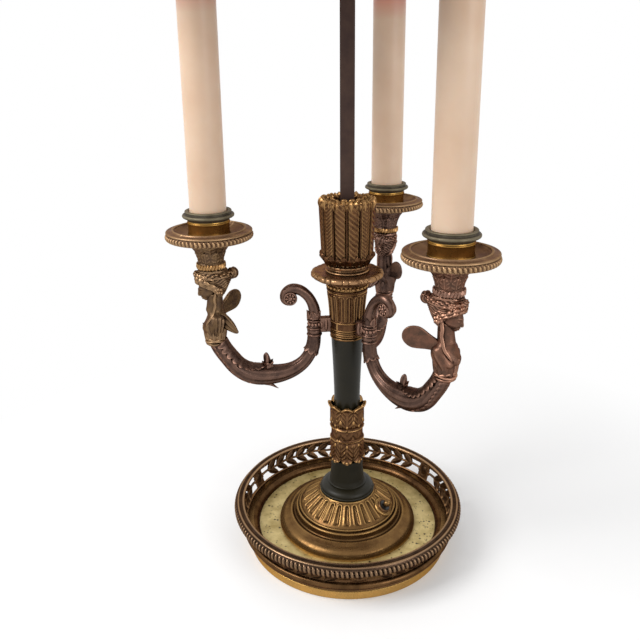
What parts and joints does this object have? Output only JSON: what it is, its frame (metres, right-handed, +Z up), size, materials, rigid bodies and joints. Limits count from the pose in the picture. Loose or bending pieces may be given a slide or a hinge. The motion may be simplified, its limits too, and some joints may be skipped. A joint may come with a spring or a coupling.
{
  "type": "bouillotte lamp",
  "caption": "Table lamp on a pierced round tray: candle sleeves on scroll arms with winged figures around a quiver-topped column, under a metal shade that slides on a square rod.",
  "frame": {"origin": "centre of the base ring, on the surface that the lamp stands on", "axes": "+Z up along the column; an arm points along -X and the other two stand 120 degrees from it"},
  "size_m": [0.38, 0.38, 0.763],
  "materials": {
    "bright_brass": "polished and worn, warm",
    "aged_brass": "aged, dark brown in the hollows",
    "pale_brass": "pale satin with dark specks",
    "dome_brass": "aged, bright on the raised edges",
    "gilt_bronze": "gilt, dark in the hollows",
    "copper_bronze": "brown copper patina, rosy where rubbed",
    "pan_brass": "satin, rosy brown",
    "cup_brass": "polished",
    "green_bronze": "grey-green patina",
    "dark_green_paint": "satin, nearly black green",
    "dark_iron": "brown oxide",
    "plain_steel": "plain",
    "red_tole": "gloss enamel",
    "shade_brass": "polished",
    "ivory_sleeve": "satin ivory",
    "bulb_glass": "clear",
    "black_phenolic": "moulded",
    "black_rubber": "moulded"
  },
  "bodies": {
    "lamp": {"base_ring": "bright_brass", "cord_bush": "black_rubber", "tray_wall": "aged_brass", "tray_floor": "pale_brass", "gallery_band": "aged_brass", "gallery_rim": "aged_brass", "foot_dome": "dome_brass", "switch_body": "black_phenolic", "switch_nut": "aged_brass", "stem_plinth": "dark_green_paint", "column_shaft": "dark_green_paint", "leaf_sheath": "gilt_bronze", "neck_ring": "gilt_bronze", "arm_hub": "gilt_bronze", "capital": "gilt_bronze", "bead_ring": "gilt_bronze", "drip_dish": "gilt_bronze", "arrow_quiver": "gilt_bronze", "square_rod": "dark_iron", "tie_washer": "plain_steel", "tie_nut": "plain_steel", "arm_1": "copper_bronze", "figure_1": "copper_bronze", "drip_pan_1": "pan_brass", "candle_cup_1": "cup_brass", "cup_ring_1": "green_bronze", "candle_sleeve_1": "ivory_sleeve", "socket_post_1": "plain_steel", "lamp_holder_1": "black_phenolic", "arm_2": "copper_bronze", "figure_2": "copper_bronze", "drip_pan_2": "pan_brass", "candle_cup_2": "cup_brass", "cup_ring_2": "green_bronze", "candle_sleeve_2": "ivory_sleeve", "socket_post_2": "plain_steel", "lamp_holder_2": "black_phenolic", "arm_3": "copper_bronze", "figure_3": "copper_bronze", "drip_pan_3": "pan_brass", "candle_cup_3": "cup_brass", "cup_ring_3": "green_bronze", "candle_sleeve_3": "ivory_sleeve", "socket_post_3": "plain_steel", "lamp_holder_3": "black_phenolic"},
    "switch_knob": {"switch_knob": "aged_brass"},
    "shade": {"shade": "red_tole", "shade_carrier": "shade_brass", "shade_screws": "shade_brass"},
    "clamp_screw": {"clamp_screw": "shade_brass"},
    "finial": {"rod_finial": "shade_brass"},
    "bulb_1": {"bulb_cap_1": "plain_steel", "bulb_glass_1": "bulb_glass"},
    "bulb_2": {"bulb_cap_2": "plain_steel", "bulb_glass_2": "bulb_glass"},
    "bulb_3": {"bulb_cap_3": "plain_steel", "bulb_glass_3": "bulb_glass"}
  },
  "joints": [
    {"name": "switch_turn", "type": "hinge", "parent": "lamp", "child": "switch_knob", "pos_m": [0.03152, -0.02463, 0.04012], "axis": [0.4809, -0.3757, 0.7922], "continuous": true},
    {"name": "shade_slide", "type": "slide", "parent": "lamp", "child": "shade", "axis": [0, 0, 1], "range_m": [-0.025, 0.055]},
    {"name": "clamp_turn", "type": "hinge", "parent": "shade", "child": "clamp_screw", "pos_m": [-0.0197, 0.00347, 0.6544], "axis": [-0.9848, 0.1736, 0], "range_deg": [0, 360]},
    {"name": "finial_turn", "type": "hinge", "parent": "lamp", "child": "finial", "pos_m": [0, 0, 0.7329], "axis": [0, 0, 1], "range_deg": [0, 720]},
    {"name": "bulb_1_turn", "type": "hinge", "parent": "lamp", "child": "bulb_1", "pos_m": [-0.1232, 0, 0.5248], "axis": [0, 0, 1], "range_deg": [0, 720]},
    {"name": "bulb_2_turn", "type": "hinge", "parent": "lamp", "child": "bulb_2", "pos_m": [0.0616, -0.10669, 0.5248], "axis": [0, 0, 1], "range_deg": [0, 720]},
    {"name": "bulb_3_turn", "type": "hinge", "parent": "lamp", "child": "bulb_3", "pos_m": [0.0616, 0.10669, 0.5248], "axis": [0, 0, 1], "range_deg": [0, 720]}
  ]
}
